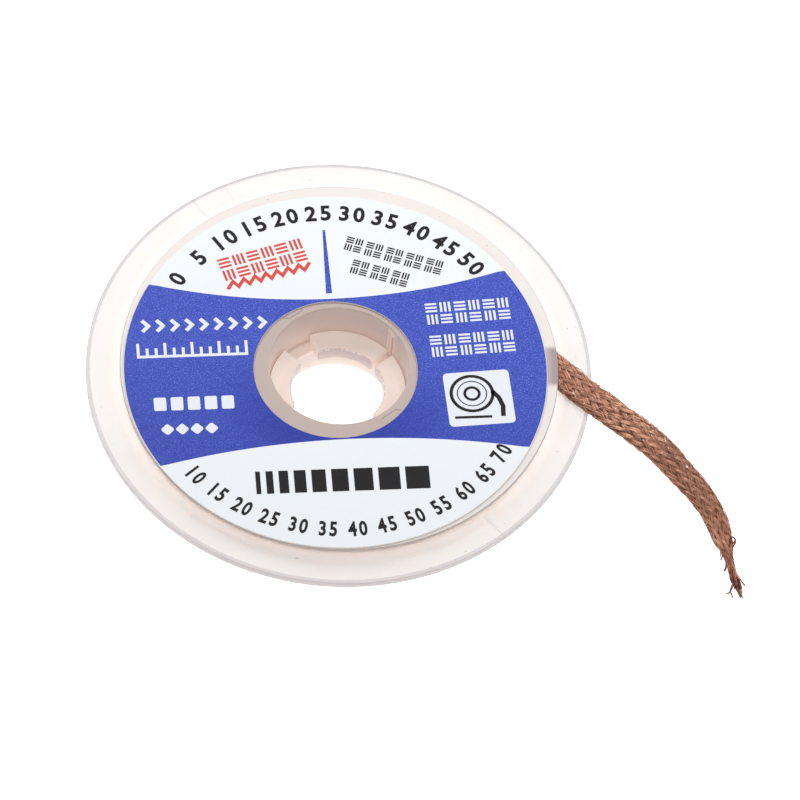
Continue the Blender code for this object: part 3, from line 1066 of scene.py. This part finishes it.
def stray(path, count, rng, spread, shade):
    """Some loose wires that follow a (back, off, high) path near the tip, each a little apart."""
    route = smooth_curve(np.array(path, float), 5)
    strays = []
    for _ in range(count):
        drift = np.linspace(0.3, 1, len(route))[:, None] * rng.normal(0, spread, 3)
        strays.append((near_tip(*(route + drift).T), np.full(len(route), shade * rng.uniform(0.4, 1.6))))
    return strays


rng = np.random.default_rng(7)
wires = []
for way_round in (1, -1):
    for place in range(BUNDLES):
        wires += bundle(place, way_round, rng)

# Single wires that bow out of the braid's two edges.
for _ in range(EDGE_BOWS):
    begin = rng.uniform(9, 30) * MM
    reach = rng.uniform(0.8, 2.4) * MM
    side = rng.choice((-1, 1))
    bow = rng.uniform(0.02, 0.16) * MM
    share = np.linspace(0, 1, 9)
    length = begin + reach * share
    half_width = along_route(fine_route, length)[:, 3] / 2
    across = side * (half_width - 0.06 * MM + bow * np.sin(np.pi * share))
    points = along_route(fine_route, length)[:, :3] + along_route(sideways, length) * across[:, None]
    wires.append((points + (0, 0, rng.uniform(0, 0.1) * MM), np.full(9, rng.uniform(0.3, 0.9))))

# The curl beside the tip, of five turns.
turns = np.linspace(0, 2 * np.pi, 15)
for _ in range(5):
    size = rng.uniform(0.2, 0.28)
    curl = [5.25 + 1.15 * size * np.sin(turns), 0.8 + size * np.cos(turns), 0.3 + 0.01 * turns]
    wires += stray(np.column_stack(curl), 1, rng, 0.015, 0.12)

# The other loose wires at the tip: how many, how far they spread, their shade, and their path.
STRAYS = [
    # The curl's stem.
    (5, 0.03, 0.15, [(6.1, 0.4, 0.3), (5.7, 0.7, 0.3), (5.4, 1.02, 0.3),
                     (5.0, 0.95, 0.25), (4.7, 0.6, 0.2), (4.2, 0.3, 0.15)]),
    # The knot under it.
    (9, 0.07, 0.2, [(5.6, 0.5, 0.2), (5.1, 0.45, 0.25), (4.6, 0.28, 0.2),
                    (4.0, 0.1, 0.15), (3.4, -0.1, 0.1)]),
    # The dark side strand.
    (5, 0.02, 0.05, [(4.7, 0.44, 0.15), (4.29, 0.44, 0.12), (3.58, 0.4, 0.12),
                     (3.0, 0.33, 0.1), (2.4, 0.27, 0.1)]),
    # Tufts on the right of the route.
    (3, 0.04, 0.3, [(4.9, -0.4, 0.0), (4.29, -0.42, -0.1), (3.94, -0.66, -0.2)]),
    (2, 0.03, 0.3, [(4.9, -0.42, 0.0), (4.6, -0.5, -0.05), (4.3, -0.62, -0.1)]),
    (4, 0.05, 0.25, [(3.8, -0.25, 0.0), (3.26, -0.36, -0.07), (2.91, -0.63, -0.2)]),
    # The neck and the tip.
    (12, 0.09, 0.32, [(3.6, 0.0, 0.1), (2.6, -0.02, 0.1), (1.8, -0.1, 0.1),
                      (0.8, -0.08, 0.05), (0.1, 0.0, 0.0), (-0.15, 0.05, 0.0)]),
    # Lighter wires beside the tip.
    (6, 0.05, 0.6, [(2.8, -0.2, 0.05), (1.95, -0.42, 0.05), (1.5, -0.4, 0.0), (1.1, -0.25, 0.0)]),
    (9, 0.06, 0.6, [(2.6, 0.15, 0.1), (2.0, 0.32, 0.05), (1.5, 0.36, 0.05),
                    (0.9, 0.26, 0.0), (0.3, 0.24, 0.0)]),
    # Hairs that stand off.
    (3, 0.04, 0.32, [(2.2, 0.3, 0.05), (1.61, 0.45, 0.0), (1.05, 0.62, -0.04), (0.85, 0.72, -0.04)]),
    (3, 0.035, 0.32, [(1.8, -0.2, 0.0), (1.21, -0.33, -0.09), (0.71, -0.72, -0.2), (0.57, -1.14, -0.22)]),
    (3, 0.035, 0.32, [(1.3, -0.4, -0.1), (0.8, -0.68, -0.15), (0.4, -0.66, -0.2), (0.05, -0.66, -0.22)]),
    (2, 0.03, 0.32, [(1.0, -0.5, -0.1), (0.7, -0.8, -0.2), (0.35, -0.95, -0.22)]),
]
for count, spread, shade, path in STRAYS:
    wires += stray(path, count, rng, spread, shade)

shells = [wire(points, WIRE_R if len(points) > 40 else 0.8 * WIRE_R, 4) for points, _ in wires]
braid_copper, wire_tint = copper("braid_copper", 0.12 * MM)
shade = braid_copper.node("ShaderNodeAttribute", {"attribute_name": "wire_shade"}, output="Fac")
# Painted shade and highlight: a low shade paints a wire dark brown, a high one lighter, and small noise spots
# are painted as glints, none near the tip.
wire_tint = braid_copper.blend(braid_copper.step(shade, 0.9, 0.15) * 0.85, wire_tint, colour(104, 60, 46))
wire_tint = braid_copper.blend(braid_copper.step(shade, 0.55, 1.0) * 0.4, wire_tint, colour(232, 182, 158))
glint = braid_copper.step(braid_copper.noise(0.25 * MM, 0.0), 0.74, 0.78)
glint = glint * braid_copper.step(shade, 0.45, 0.7)
glint = glint * (1 - braid_copper.step(braid_copper.part(braid_copper.place(), "X"), 31 * MM, 34 * MM))
wire_tint = braid_copper.blend(glint, wire_tint, colour(255, 244, 236))
braid_copper.feed("Base Color", wire_tint)
tail = piece("braid_end", shells, [braid_copper.material], "braid_tail", sharp=100)
shades = np.concatenate([np.repeat(wire_shade, 4) for _, wire_shade in wires])
tail.data.attributes.new("wire_shade", "FLOAT", "POINT").data.foreach_set("value", shades.astype(np.float32))
